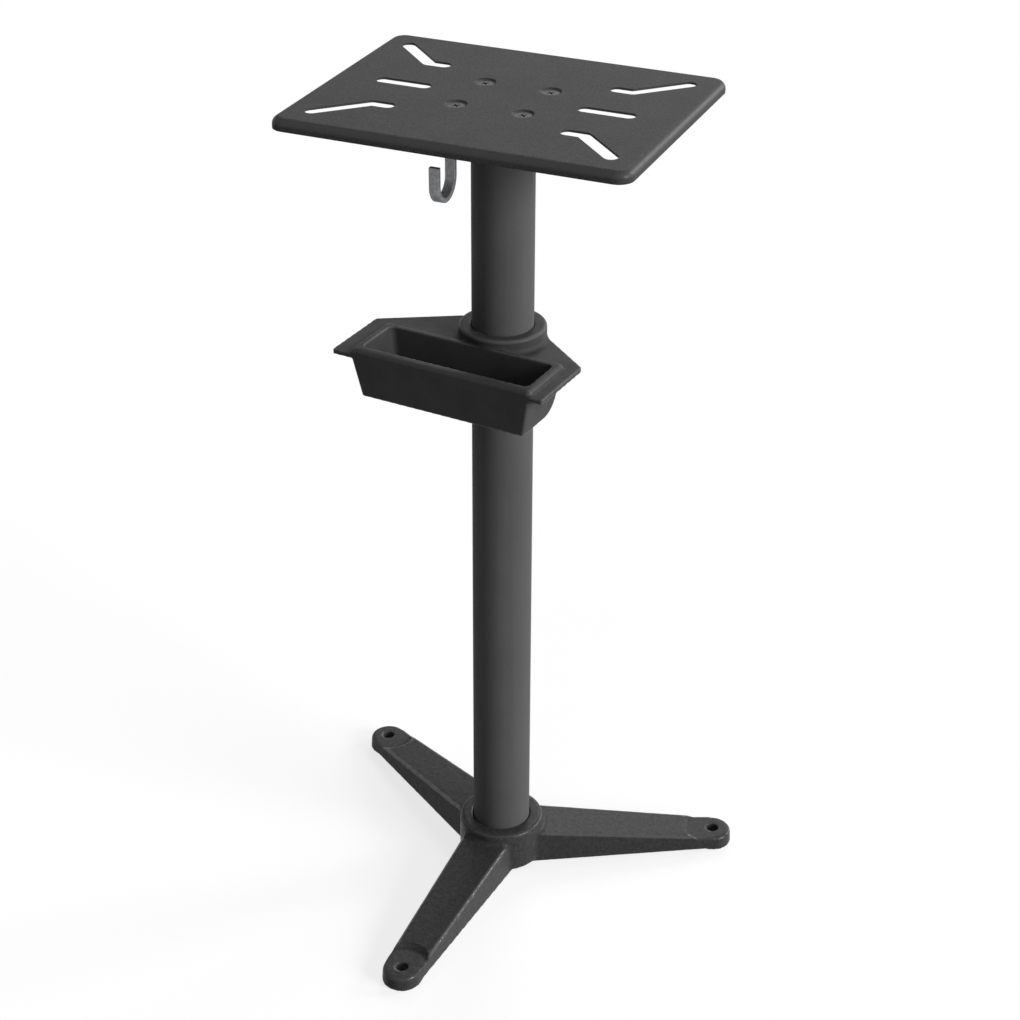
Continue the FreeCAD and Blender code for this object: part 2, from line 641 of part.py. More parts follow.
# ---------------------------------------------------------------- tray
def swell_tangent(corner, side):
    """The point where a line from a flange corner touches the swell round the collar."""
    centre = point(SWELL_CENTRE[0], SWELL_CENTRE[1], corner.z)
    gap = corner - centre
    distance = gap.Length
    spread = math.acos(SWELL_RADIUS / distance)
    bearing = math.atan2(gap.y, gap.x) + side * spread
    return centre + point(SWELL_RADIUS * math.cos(bearing), SWELL_RADIUS * math.sin(bearing))


def build_flange():
    """The flange: a slab with square front corners that narrows to the swell at the collar."""
    low = TRAY_HEIGHT - FLANGE_THICKNESS
    back_left = point(FLANGE_LEFT, FLANGE_BACK, low)
    back_right = point(FLANGE_RIGHT, FLANGE_BACK, low)
    left_touch = swell_tangent(back_left, -1)
    right_touch = swell_tangent(back_right, 1)
    corners = [(right_touch, 0), (left_touch, 0), (back_left, FLANGE_CORNER),
               (point(FLANGE_LEFT, FLANGE_FRONT, low), FLANGE_CORNER / 2),
               (point(FLANGE_RIGHT, FLANGE_FRONT, low), FLANGE_CORNER / 2), (back_right, FLANGE_CORNER)]
    slab = Part.Face(rounded_outline(corners)).extrude(point(0, 0, FLANGE_THICKNESS))
    swell = cylinder(SWELL_RADIUS, FLANGE_THICKNESS, point(SWELL_CENTRE[0], SWELL_CENTRE[1], low))
    return slab.fuse(swell)


def build_collar(flange):
    """The collar: a thick ring with an eased top edge, and a cove where the flange runs past it."""
    bore = COLUMN_RADIUS + TRAY_FIT
    foot = COLLAR_FILLET
    dip = foot * (1 - math.sqrt(0.5))
    corners = [point(bore, 0, COLLAR_BOTTOM), point(COLLAR_RADIUS, 0, COLLAR_BOTTOM)]
    corners += eased_corner(COLLAR_RADIUS, COLLAR_TOP, COLLAR_EDGE_RADIUS)
    corners.append(point(bore + COLLAR_MOUTH_BEVEL, 0, COLLAR_TOP))
    corners.append(point(bore, 0, COLLAR_TOP - COLLAR_MOUTH_BEVEL))
    ring = revolved_corners(corners)
    root = COLLAR_RADIUS - PAST
    cove = revolved([
        run(point(root, 0, TRAY_HEIGHT), point(COLLAR_RADIUS + foot, 0, TRAY_HEIGHT)),
        bend(point(COLLAR_RADIUS + foot, 0, TRAY_HEIGHT),
             point(COLLAR_RADIUS + dip, 0, TRAY_HEIGHT + dip),
             point(COLLAR_RADIUS, 0, TRAY_HEIGHT + foot)),
        run(point(COLLAR_RADIUS, 0, TRAY_HEIGHT + foot), point(root, 0, TRAY_HEIGHT + foot)),
        run(point(root, 0, TRAY_HEIGHT + foot), point(root, 0, TRAY_HEIGHT)),
    ])
    above_flange = flange.copy()
    above_flange.translate(point(0, 0, FLANGE_THICKNESS))
    return ring, cove.common(above_flange)


def trough_block(left, right, front, back, low, high, rounds):
    """A trough-shaped block with leaning ends and back, as the overlap of its two side views."""
    back_round, front_round, end_round, corner = rounds
    side_view = rounded_outline([
        (point(left, front, high), 0), (point(left, front, low), front_round),
        (point(left, back - TROUGH_BACK_SLANT, low), back_round), (point(left, back, high), 0)])
    front_view = rounded_outline([
        (point(left, front, high), 0), (point(left + TROUGH_LEFT_SLANT, front, low), end_round),
        (point(right - TROUGH_RIGHT_SLANT, front, low), end_round), (point(right, front, high), 0)])
    length_block = Part.Face(side_view).extrude(point(right - left, 0, 0))
    depth_block = Part.Face(front_view).extrude(point(0, back - front, 0))
    block = length_block.common(depth_block).removeSplitter()
    uprights = [edge for edge in block.Edges
                if edge.BoundBox.ZLength > TROUGH_FLOOR * 2 and edge.BoundBox.XLength > 0.01
                and edge.BoundBox.XLength < (right - left) / 2]
    return block.makeFillet(corner, uprights)


def build_rim():
    """The raised rim round the trough's mouth, with a rounded top."""
    half_round = min(RIM_RISE * 0.8, RIM_WIDTH / 2 - 0.2)
    outer = rounded_outline([
        (point(TROUGH_LEFT - 1.0, FLANGE_FRONT, TRAY_HEIGHT), RIM_CORNER),
        (point(TROUGH_RIGHT + 1.0, FLANGE_FRONT, TRAY_HEIGHT), RIM_CORNER),
        (point(TROUGH_RIGHT + 1.0, TROUGH_BACK + 3.0, TRAY_HEIGHT), RIM_CORNER),
        (point(TROUGH_LEFT - 1.0, TROUGH_BACK + 3.0, TRAY_HEIGHT), RIM_CORNER)])
    block = Part.Face(outer).extrude(point(0, 0, RIM_RISE))
    return block.makeFillet(half_round, edges_at_height(block, TRAY_HEIGHT + RIM_RISE))


def build_tray():
    """The whole tray moulding, turned to where it stands on the column."""
    flange = build_flange()
    ring, cove = build_collar(flange)
    outer = trough_block(TROUGH_LEFT, TROUGH_RIGHT, FLANGE_FRONT, TROUGH_BACK, TROUGH_BOTTOM,
                         TRAY_HEIGHT - FLANGE_THICKNESS, (TROUGH_BACK_ROUND, 0, 0, TROUGH_CORNER))
    body = flange
    for piece in (outer, build_rim(), ring, cove):
        body = body.fuse(piece)
    hollow = trough_block(TROUGH_LEFT + TROUGH_WALL, TROUGH_RIGHT - TROUGH_WALL,
                          FLANGE_FRONT + TROUGH_FRONT_WALL, TROUGH_BACK - TROUGH_BACK_WALL,
                          TROUGH_BOTTOM + TROUGH_FLOOR, TRAY_HEIGHT + RIM_RISE + PAST,
                          (TROUGH_BACK_ROUND - TROUGH_FLOOR, 0, 0, TROUGH_INNER_CORNER))
    bore = cylinder(COLUMN_RADIUS + TRAY_FIT, COLLAR_RISE + COLLAR_DROP, point(0, 0, COLLAR_BOTTOM))
    body = body.cut([hollow, bore]).removeSplitter()
    return turned(body, TRAY_TURN)


# ---------------------------------------------------------------- build and write
os.makedirs("parts", exist_ok=True)

save(build_base(), "base_casting")
save(socket_screw(BASE_SCREW_RADIUS, BASE_SCREW_LENGTH, BASE_SCREW_KEY, COLUMN_RADIUS + SEAT_GAP,
                  BASE_SCREW_ANGLE, BASE_SCREW_HEIGHT), "base_set_screw")
save(build_column(), "column_tube")
save(build_head_plate(), "column_head_plate")
save(build_weld_bead(), "column_weld_bead")
save(build_top_plate(), "top_plate")
save(build_hook(), "hook")

for index, (side_x, side_y) in enumerate(BOLT_CORNERS):
    centre_x = side_x * HALF_BOLT_SPACING
    centre_y = side_y * HALF_BOLT_SPACING
    seat = HEAD_PLATE_UNDERSIDE
    if index == HOOK_BOLT:
        seat = seat - HOOK_THICKNESS
    number = index + 1
    save(build_bolt(centre_x, centre_y), "plate_bolt_%d" % number)
    save(build_washer(centre_x, centre_y, seat), "plate_washer_%d" % number)
    seat = seat - WASHER_THICKNESS
    save(build_lock_washer(centre_x, centre_y, seat), "plate_lock_washer_%d" % number)
    seat = seat - LOCK_WASHER_THICKNESS
    save(build_nut(centre_x, centre_y, seat), "plate_nut_%d" % number)

save(build_stop_collar(), "stop_collar")
save(socket_screw(STOP_SCREW_RADIUS, STOP_SCREW_LENGTH, STOP_SCREW_KEY, COLUMN_RADIUS + SEAT_GAP,
                  STOP_SCREW_ANGLE, COLLAR_BOTTOM - STOP_HEIGHT / 2), "stop_collar_screw")
save(build_tray(), "tray")
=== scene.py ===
"""Pedestal stand for a bench grinder: the finish of its surfaces, and the detail too fine for its frame.

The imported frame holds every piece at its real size.  Here each sub-assembly is a class that builds
the meshes that the frame leaves plain and dresses all of its pieces, each finish is a frozen
dataclass that makes one material, and the studio holds the floor, the lamps and the camera.
Lengths are metres and named angles are degrees, in the frame's own axes: +Z up, +X along the
plate, -Y to the front.
"""
import logging
import math
from abc import ABC, abstractmethod
from collections.abc import Sequence
from dataclasses import dataclass, field
from enum import Enum

import bmesh
import bpy
import numpy as np
from mathutils import Matrix, Vector, noise


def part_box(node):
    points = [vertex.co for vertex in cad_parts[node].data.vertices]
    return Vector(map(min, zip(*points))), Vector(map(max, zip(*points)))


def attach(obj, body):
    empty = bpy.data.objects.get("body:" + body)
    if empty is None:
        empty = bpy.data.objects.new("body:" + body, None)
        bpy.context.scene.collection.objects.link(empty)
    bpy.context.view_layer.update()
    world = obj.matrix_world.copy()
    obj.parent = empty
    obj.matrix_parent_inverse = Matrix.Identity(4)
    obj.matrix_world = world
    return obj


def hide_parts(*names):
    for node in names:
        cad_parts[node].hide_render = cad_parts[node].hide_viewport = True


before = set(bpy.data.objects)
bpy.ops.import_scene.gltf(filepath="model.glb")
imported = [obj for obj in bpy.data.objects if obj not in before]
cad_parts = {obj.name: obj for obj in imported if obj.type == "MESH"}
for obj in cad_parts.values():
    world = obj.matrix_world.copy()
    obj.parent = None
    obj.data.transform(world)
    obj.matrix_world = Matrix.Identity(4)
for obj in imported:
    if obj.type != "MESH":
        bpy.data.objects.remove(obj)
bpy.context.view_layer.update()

LOG = logging.getLogger("grinder_stand")
MM = 0.001
WHITE = (1.0, 1.0, 1.0, 1.0)

Colour = tuple[float, float, float]
Span = tuple[float, float]
Socket = bpy.types.NodeSocket


class Body(Enum):
    """The moving groups of the stand."""

    STAND = "stand"
    TRAY_STOP = "tray_stop"
    TRAY = "tray"


class Slot(Enum):
    """The stand's material slots."""

    CAST_BLACK = "cast_black"
    COLUMN_BLACK = "column_black"
    PLATE_BLACK = "plate_black"
    TRAY_BLACK = "tray_black"
    ZINC_GREY = "zinc_grey"
    ZINC_BRIGHT = "zinc_bright"
    BLACK_OXIDE = "black_oxide"


# ---------------------------------------------------------------- materials
@dataclass(frozen=True)
class Mottle:
    """One layer of noise in a finish.

    Its lumps are of the given size.  Where drawn is given, it says instead how many of them
    a metre holds along each axis, for lines and scratches.  detail is how many finer layers
    lie over the lumps, and harshness how strong those are.  dark and light are the factors on
    the colour where the noise is low and high.  cells makes it cell noise, for spangles.
    """

    size: float = 1.0
    detail: float = 3.0
    harshness: float = 0.5
    dark: float = 1.0
    light: float = 1.0
    drawn: tuple[float, float, float] | None = None
    cells: bool = False


class Graph:
    """A material's node tree round one surface shader, with short ways to add and join nodes."""

    # Soft noise goes from 0 to 1, but is mostly within this span.
    COMMON_NOISE: Span = (0.3, 0.7)
    # How much a rounded normal agrees with the true one, on a flat face and close to a sharp edge.
    AGREEMENT: Span = (0.995, 0.85)
    # The pointiness at which a finely meshed surface begins to be a ridge, and that of a full one.
    RIDGE: Span = (0.507, 0.520)
    EDGE_SAMPLES = 4

    def __init__(self, name: str) -> None:
        """Start a material that holds only its shader and its output.

        Args:
            name: The material's name.
        """
        self.material = bpy.data.materials.new(name)
        self.material.use_nodes = True
        self.tree = self.material.node_tree
        self.tree.nodes.clear()
        output = self.tree.nodes.new("ShaderNodeOutputMaterial")
        self.shader = self.tree.nodes.new("ShaderNodeBsdfPrincipled")
        self.tree.links.new(self.shader.outputs["BSDF"], output.inputs["Surface"])
        self.place = self.tree.nodes.new("ShaderNodeTexCoord").outputs["Object"]
        self.layers: dict[Mottle, Socket] = {}

    def node(self, kind: str, inputs: dict[str | int, object], **settings: object) -> bpy.types.Node:
        """Add a node.

        Args:
            kind: The node's Blender type.
            inputs: A value or a socket for each input that is set.
            settings: The node's own properties.

        Returns:
            The new node.
        """
        new = self.tree.nodes.new(kind)
        for key, value in settings.items():
            setattr(new, key, value)
        for key, value in inputs.items():
            if isinstance(value, bpy.types.NodeSocket):
                self.tree.links.new(value, new.inputs[key])
            else:
                new.inputs[key].default_value = value
        return new

    def grain(self, layer: Mottle) -> Socket:
        """A layer's noise, made once however often it is asked for.

        Args:
            layer: The layer.

        Returns:
            A socket from 0 to 1: lumps, or cells that are 0 at their centres and higher at their rims.
        """
        if layer not in self.layers:
            inputs = {"Vector": self.place, "Scale": 1.0 / layer.size}
            if layer.drawn is not None:
                stretch = {"Vector": self.place, "Scale": layer.drawn}
                inputs["Vector"] = self.node("ShaderNodeMapping", stretch).outputs["Vector"]
            if layer.cells:
                self.layers[layer] = self.node("ShaderNodeTexVoronoi", inputs).outputs["Distance"]
            else:
                inputs |= {"Detail": layer.detail, "Roughness": layer.harshness}
                self.layers[layer] = self.node("ShaderNodeTexNoise", inputs).outputs["Fac"]
        return self.layers[layer]

    def spread(self, value: Socket, low: float, high: float, to_low: float = 0.0,
               to_high: float = 1.0) -> Socket:
        """Map the range from low to high onto that from to_low to to_high, smoothly, with no overshoot."""
        inputs = {"Value": value, "From Min": low, "From Max": high, "To Min": to_low, "To Max": to_high}
        return self.node("ShaderNodeMapRange", inputs, interpolation_type="SMOOTHSTEP").outputs["Result"]

    def varied(self, layer: Mottle, span: Span) -> Socket:
        """A value that goes from one end of a span to the other as a layer's noise rises."""
        return self.spread(self.grain(layer), *self.COMMON_NOISE, *span)

    def maths(self, operation: str, first: Socket | float, second: Socket | float) -> Socket:
        """One sum of two values."""
        return self.node("ShaderNodeMath", {0: first, 1: second}, operation=operation).outputs["Value"]

    def blend(self, share: Socket, first: Socket, second: Colour) -> Socket:
        """A colour between two, by a share from 0 to 1."""
        # Inputs 6 and 7 and output 2 are the ones that a mix node has for colours.
        inputs = {0: share, 6: first, 7: (*second, 1.0)}
        return self.node("ShaderNodeMix", inputs, data_type="RGBA").outputs[2]

    def mottled(self, colour: Socket | Colour, *layers: Mottle) -> Socket:
        """A colour made darker and lighter from place to place.

        Args:
            colour: The colour to vary.
            layers: The layers of noise that vary it.

        Returns:
            The varied colour.
        """
        for layer in layers:
            inputs = {0: colour, 1: self.varied(layer, (layer.dark, layer.light))}
            colour = self.node("ShaderNodeVectorMath", inputs, operation="MULTIPLY").outputs["Vector"]
        return colour

    def raised(self, height: Socket, depth: float, under: Socket | None = None) -> Socket:
        """A bumped normal.

        Args:
            height: The surface's height, from 0 to 1.
            depth: What a height of 1 is, in metres.
            under: The normal that the bump lies on.

        Returns:
            The normal's socket.
        """
        inputs: dict[str | int, object] = {"Height": height, "Distance": depth, "Strength": 1.0}
        if under is not None:
            inputs["Normal"] = under
        return self.node("ShaderNodeBump", inputs).outputs["Normal"]

    def rounded_normal(self, radius: float) -> Socket:
        """A normal that turns smoothly over sharp edges, as a worn or painted edge does."""
        return self.node("ShaderNodeBevel", {"Radius": radius}, samples=self.EDGE_SAMPLES).outputs["Normal"]

    def near_edge(self, radius: float) -> Socket:
        """How near a sharp edge a point lies.

        Args:
            radius: How far from the edge it is felt, in metres.

        Returns:
            A socket from 0 on a flat face to 1 at an edge.
        """
        true = self.node("ShaderNodeNewGeometry", {}).outputs["True Normal"]
        inputs = {0: self.rounded_normal(radius), 1: true}
        agreement = self.node("ShaderNodeVectorMath", inputs, operation="DOT_PRODUCT").outputs["Value"]
        return self.spread(agreement, *self.AGREEMENT)

    def ridge(self) -> Socket:
        """How sharply a finely meshed surface turns outwards, from 0 to 1."""
        return self.spread(self.node("ShaderNodeNewGeometry", {}).outputs["Pointiness"], *self.RIDGE)

    def height(self) -> Socket:
        """The height above the floor, in metres."""
        return self.node("ShaderNodeSeparateXYZ", {"Vector": self.place}).outputs["Z"]

    def finish(self, colour: Socket, roughness: Socket, normal: Socket, metallic: float = 0.0,
               specular: float = 0.04, polish: Socket | None = None,
               polish_roughness: float = 0.2) -> bpy.types.Material:
        """Join the parts of a finish to the shader.

        Args:
            colour: The base colour.
            roughness: The roughness.
            normal: The bumped normal.
            metallic: 1 for bare metal.
            specular: The strength of the plain reflection, which matte black paint has little of.
            polish: Where handling has polished the surface, from 0 to 1.
            polish_roughness: The roughness of the polish.

        Returns:
            The finished material.
        """
        self.tree.links.new(colour, self.shader.inputs["Base Color"])
        self.tree.links.new(roughness, self.shader.inputs["Roughness"])
        self.tree.links.new(normal, self.shader.inputs["Normal"])
        self.shader.inputs["Metallic"].default_value = metallic
        self.shader.inputs["Specular IOR Level"].default_value = specular
        if polish is not None:
            self.tree.links.new(polish, self.shader.inputs["Coat Weight"])
            self.tree.links.new(normal, self.shader.inputs["Coat Normal"])
            self.shader.inputs["Coat Roughness"].default_value = polish_roughness
        return self.material


def seen_rays(tree: bpy.types.NodeTree) -> Socket:
    """Pick out the rays that reach the eye: straight, off a glossy surface or through a clear one.

    Args:
        tree: The node tree of a material or a world.

    Returns:
        A socket that is 1 for those rays and 0 for the others.
    """
    path = tree.nodes.new("ShaderNodeLightPath")
    seen = path.outputs["Is Camera Ray"]
    for ray in ("Is Glossy Ray", "Is Transmission Ray"):
        either = tree.nodes.new("ShaderNodeMath")
        either.operation = "MAXIMUM"
        tree.links.new(seen, either.inputs[0])
        tree.links.new(path.outputs[ray], either.inputs[1])
        seen = either.outputs["Value"]
    return seen


@dataclass(frozen=True)
class CastPaint:
    """Black paint over the grainy skin of a sand casting, worn thin along its ridges, which are paler as
    edge wear and as a painted highlight.

    The paint wears most where the grit stands high and by least_thinned where it lies low,
    with thinned_grit as the span between.  The feet, up to foot_top, and the hub, down to hub_rim
    below its top, get only rub_off_legs as much of this wear, painted highlight and polish as the legs.
    """

    hub_top: float
    colour: Colour = (0.046, 0.046, 0.047)
    # paler ridge colour: partly edge wear, partly a painted highlight
    wear_and_highlight: Colour = (0.058, 0.058, 0.059)
    lumps: Mottle = Mottle(3.6 * MM, detail=4.0, harshness=0.6, dark=0.84, light=1.16)
    grit: Mottle = Mottle(0.9 * MM, detail=2.0, harshness=0.6, dark=0.80, light=1.22)
    grit_share: float = 0.2
    depth: float = 0.14 * MM
    roughness: Span = (0.40, 0.32)
    shine: float = 0.05
    polish_roughness: float = 0.18
    thinned_grit: Span = (0.25, 0.6)
    least_thinned: float = 0.35
    foot_top: float = 14.6 * MM
    foot_fade: float = 2.0 * MM
    hub_rim: float = 4.0 * MM
    hub_fade: float = 4.0 * MM
    rub_off_legs: float = 0.3

    def material(self) -> bpy.types.Material:
        """The cast base's material, worn and given its painted highlight most along the legs and less on the
        feet and the hub.

        Returns:
            The finished material.
        """
        graph = Graph("cast_paint")
        grit = graph.grain(self.grit)
        ridge = graph.maths("MULTIPLY", graph.ridge(), self.handling(graph))
        wear_and_highlight_share = graph.maths("MULTIPLY", ridge, graph.spread(grit, *self.thinned_grit, self.least_thinned))
        # The ridges are paler: partly worn paint, partly a painted highlight along every ridge.
        colour = graph.blend(wear_and_highlight_share, graph.mottled(self.colour, self.lumps, self.grit), self.wear_and_highlight)
        skin = graph.maths("ADD", graph.maths("MULTIPLY", grit, self.grit_share),
                           graph.maths("MULTIPLY", graph.grain(self.lumps), 1 - self.grit_share))
        return graph.finish(colour, graph.varied(self.grit, self.roughness), graph.raised(skin, self.depth),
                            specular=self.shine, polish=ridge, polish_roughness=self.polish_roughness)

    def handling(self, graph: Graph) -> Socket:
        """How much edge wear, painted highlight and polish each height of the casting gets.

        Args:
            graph: The material's graph.

        Returns:
            A socket that is 1 along the legs and rub_off_legs on the feet and the hub.
        """
        height = graph.height()
        hub_edge = self.hub_top - self.hub_rim
        above_foot = graph.spread(height, self.foot_top, self.foot_top + self.foot_fade)
        below_hub = graph.spread(height, hub_edge, hub_edge - self.hub_fade)
        on_leg = graph.maths("MULTIPLY", above_foot, below_hub)
        return graph.spread(on_leg, 0.0, 1.0, self.rub_off_legs)


@dataclass(frozen=True)
class TubePaint:
    """Satin black paint on drawn tube, with a faint orange peel and long soft draw lines."""

    colour: Colour = (0.097, 0.097, 0.098)
    clouds: Mottle = Mottle(60 * MM, dark=0.95, light=1.05)
    lines: Mottle = Mottle(detail=4.0, harshness=0.6, dark=0.97, light=1.03, drawn=(260.0, 260.0, 3.0))
    specks: Mottle = Mottle(0.5 * MM, detail=1.0, dark=0.92, light=1.08)
    peel: Mottle = Mottle(1.6 * MM, detail=1.0)
    depth: float = 0.012 * MM
    edge_round: float = 0.4 * MM
    roughness: Span = (0.60, 0.68)

    def material(self) -> bpy.types.Material:
        """The column's material.

        Returns:
            The finished material.
        """
        graph = Graph("tube_paint")
        colour = graph.mottled(self.colour, self.clouds, self.lines, self.specks)
        drawn = graph.raised(graph.grain(self.lines), self.depth, graph.rounded_normal(self.edge_round))
        normal = graph.raised(graph.grain(self.peel), self.depth, drawn)
        return graph.finish(colour, graph.varied(self.clouds, self.roughness), normal)


@dataclass(frozen=True)
class PowderCoat:
    """Black powder coat on pressed sheet: finely pebbled, a little paler on sharp edges as wear, and a
    little paler and shinier on its rim, where the paler colour is a painted highlight.

    The rim starts and ends at depths below the plate's top face, each with its own fade.
    """

    plate_top: float
    colour: Colour = (0.054, 0.054, 0.055)
    # paler colour: wear on sharp edges, a painted highlight on the rim
    pale: Colour = (0.060, 0.060, 0.061)
    clouds: Mottle = Mottle(45 * MM, detail=4.0, harshness=0.55, dark=0.94, light=1.06)
    specks: Mottle = Mottle(1.2 * MM, detail=2.0, harshness=0.6, dark=0.75, light=1.28)
    pebbles: Mottle = Mottle(1.1 * MM, detail=2.0)
    depth: float = 0.03 * MM
    edge_round: float = 0.5 * MM
    roughness: Span = (0.48, 0.58)
    polish: float = 0.25
    polish_roughness: float = 0.32
    rim_start: float = 0.2 * MM
    rim_start_fade: float = 1.6 * MM
    rim_end: float = 7.0 * MM
    rim_end_fade: float = 3.0 * MM

    def material(self) -> bpy.types.Material:
        """The top plate's material.

        Returns:
            The finished material.
        """
        graph = Graph("powder_coat")
        rim = self.rim(graph)
        # Paler on sharp edges as wear, and on the rim as a painted highlight.
        edges = graph.maths("MAXIMUM", graph.near_edge(self.edge_round), rim)
        colour = graph.blend(edges, graph.mottled(self.colour, self.clouds, self.specks), self.pale)
        normal = graph.raised(graph.grain(self.pebbles), self.depth, graph.rounded_normal(self.edge_round))
        return graph.finish(colour, graph.varied(self.pebbles, self.roughness), normal,
                            polish=graph.maths("MULTIPLY", rim, self.polish),
                            polish_roughness=self.polish_roughness)

    def rim(self, graph: Graph) -> Socket:
        """Find the rounded rim, by its depth below the plate's top face, which takes the painted highlight
        and the polish.

        Args:
            graph: The material's graph.

        Returns:
            A socket that is 1 on the rim and 0 above and below it.
        """
        height = graph.height()
        start = self.plate_top - self.rim_start
        end = self.plate_top - self.rim_end
        return graph.maths("MULTIPLY", graph.spread(height, start, start - self.rim_start_fade),
                           graph.spread(height, end, end + self.rim_end_fade))


@dataclass(frozen=True)
class MouldedBlack:
    """Matte moulded black with a fine spark-eroded grain, a little smoother where it is handled, and paler
    along its ridges as wear and as a painted highlight.
    """

    colour: Colour = (0.049, 0.049, 0.050)
    # paler ridge colour: partly wear, partly a painted highlight
    wear_and_highlight: Colour = (0.090, 0.090, 0.092)
    clouds: Mottle = Mottle(25 * MM, dark=0.93, light=1.07)
    grain: Mottle = Mottle(0.7 * MM, detail=2.0, harshness=0.6, dark=0.86, light=1.15)
    depth: float = 0.035 * MM
    roughness: Span = (0.55, 0.47)
    rubbed_smooth: float = 0.15
    shine: float = 0.05

    def material(self) -> bpy.types.Material:
        """The tray's material.

        Returns:
            The finished material.
        """
        graph = Graph("moulded_black")
        ridge = graph.ridge()
        # The ridges are paler: partly wear, partly a painted highlight.
        colour = graph.blend(ridge, graph.mottled(self.colour, self.clouds, self.grain), self.wear_and_highlight)
        roughness = graph.maths("SUBTRACT", graph.varied(self.clouds, self.roughness),
                                graph.maths("MULTIPLY", ridge, self.rubbed_smooth))
        normal = graph.raised(graph.grain(self.grain), self.depth)
        return graph.finish(colour, roughness, normal, specular=self.shine)


@dataclass(frozen=True)
class ZincPlate:
    """Zinc plating: a cool grey metal, mottled in faint spangles and scratched along its length."""

    name: str
    colour: Colour
    roughness: float
    bare: float = 1.0
    spangles: Mottle = Mottle(3.5 * MM, dark=0.90, light=1.10, cells=True)
    scratches: Mottle = Mottle(harshness=0.6, dark=0.92, light=1.06,
                               drawn=(1 / (0.35 * MM), 1 / (0.35 * MM), 40.0))
    clouds: Mottle = Mottle(8 * MM, harshness=0.6)
    clouding: Span = (-0.06, 0.08)
    depth: float = 0.008 * MM
    edge_round: float = 0.25 * MM

    def material(self) -> bpy.types.Material:
        """The material of one shade of zinc plate.

        Returns:
            The finished material.
        """
        graph = Graph(self.name)
        colour = graph.mottled(self.colour, self.spangles, self.scratches)
        roughness = graph.maths("ADD", graph.varied(self.clouds, self.clouding), self.roughness)
        normal = graph.raised(graph.grain(self.scratches), self.depth, graph.rounded_normal(self.edge_round))
        return graph.finish(colour, roughness, normal, metallic=self.bare)


@dataclass(frozen=True)
class BlackOxide:
    """Oiled black oxide on machined steel, worn to a brown-grey on its edges."""

    colour: Colour = (0.040, 0.040, 0.042)
    worn: Colour = (0.16, 0.155, 0.15)
    turning: Mottle = Mottle(detail=2.0, harshness=0.6, drawn=(300.0, 300.0, 1 / (0.25 * MM)))
    clouds: Mottle = Mottle(2.5 * MM, harshness=0.6, dark=0.75, light=1.25)
    depth: float = 0.006 * MM
    edge_round: float = 0.2 * MM
    roughness: Span = (0.32, 0.48)
    bare: float = 0.6

    def material(self) -> bpy.types.Material:
        """The material of the bolts and set screws.

        Returns:
            The finished material.
        """
        graph = Graph("black_oxide")
        colour = graph.mottled(self.colour, self.clouds)
        colour = graph.blend(graph.near_edge(self.edge_round), colour, self.worn)
        normal = graph.raised(graph.grain(self.turning), self.depth, graph.rounded_normal(self.edge_round))
        return graph.finish(colour, graph.varied(self.clouds, self.roughness), normal, metallic=self.bare)


@dataclass(frozen=True)
class FloorPaper:
    """Pale paper that shows as white wherever nothing shades it."""

    colour: Colour = (0.36, 0.36, 0.36)
    mottle: Mottle = Mottle(0.4, dark=0.995, light=1.005)
    roughness: Span = (0.88, 0.92)
    depth: float = 0.1 * MM
    lift: float = 0.74

    def material(self) -> bpy.types.Material:
        """The floor's material.

        Returns:
            The finished material.
        """
        graph = Graph("floor_paper")
        lift = graph.maths("MULTIPLY", seen_rays(graph.tree), self.lift)
        graph.tree.links.new(lift, graph.shader.inputs["Emission Strength"])
        graph.shader.inputs["Emission Color"].default_value = WHITE
        colour = graph.mottled(self.colour, self.mottle)
        normal = graph.raised(graph.grain(self.mottle), self.depth)
        return graph.finish(colour, graph.varied(self.mottle, self.roughness), normal, specular=0.0)


@dataclass
class Finishes:
    """One material for each of the stand's slots."""

    made: dict[Slot, bpy.types.Material] = field(default_factory=dict)

    def __post_init__(self) -> None:
        """Make every material once."""
        zinc_grey = ZincPlate("zinc_grey_plate", colour=(0.285, 0.288, 0.297), roughness=0.60, bare=0.6)
        zinc_bright = ZincPlate("zinc_bright_plate", colour=(0.55, 0.55, 0.56), roughness=0.32)
        self.made[Slot.CAST_BLACK] = CastPaint(hub_top=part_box("base_casting")[1].z).material()
        self.made[Slot.COLUMN_BLACK] = TubePaint().material()
        self.made[Slot.PLATE_BLACK] = PowderCoat(plate_top=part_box("top_plate")[1].z).material()
        self.made[Slot.TRAY_BLACK] = MouldedBlack().material()
        self.made[Slot.ZINC_GREY] = zinc_grey.material()
        self.made[Slot.ZINC_BRIGHT] = zinc_bright.material()
        self.made[Slot.BLACK_OXIDE] = BlackOxide().material()

    def dress(self, piece: bpy.types.Object, slot: Slot) -> None:
        """Give a piece the material of a slot, in place of every material that it has.

        Args:
            piece: The piece.
            slot: The slot whose finish it takes.
        """
        materials = piece.data.materials
        if not materials:
            materials.append(self.made[slot])
        for index in range(len(materials)):
            materials[index] = self.made[slot]


# ---------------------------------------------------------------- mesh tools
# Points that are nearer to each other than this are one point.
SEAM = 0.001 * MM
# How far a smoothing pass draws each point to the middle of its neighbours.
PASS_STRENGTH = 0.5
# A casting's unevenness: how fast its finer layers weaken, how much finer each is, and how many there are.
LUMP_FALL = 1.0
LUMP_STEP = 2.0
LUMP_LAYERS = 3


def new_piece(name: str, mesh: bpy.types.Mesh) -> bpy.types.Object:
    """Put a mesh into the scene as an object at the frame's origin.

    Args:
        name: The object's name.
        mesh: Its mesh.

    Returns:
        The new object.
    """
    piece = bpy.data.objects.new(name, mesh)
    bpy.context.scene.collection.objects.link(piece)
    return piece


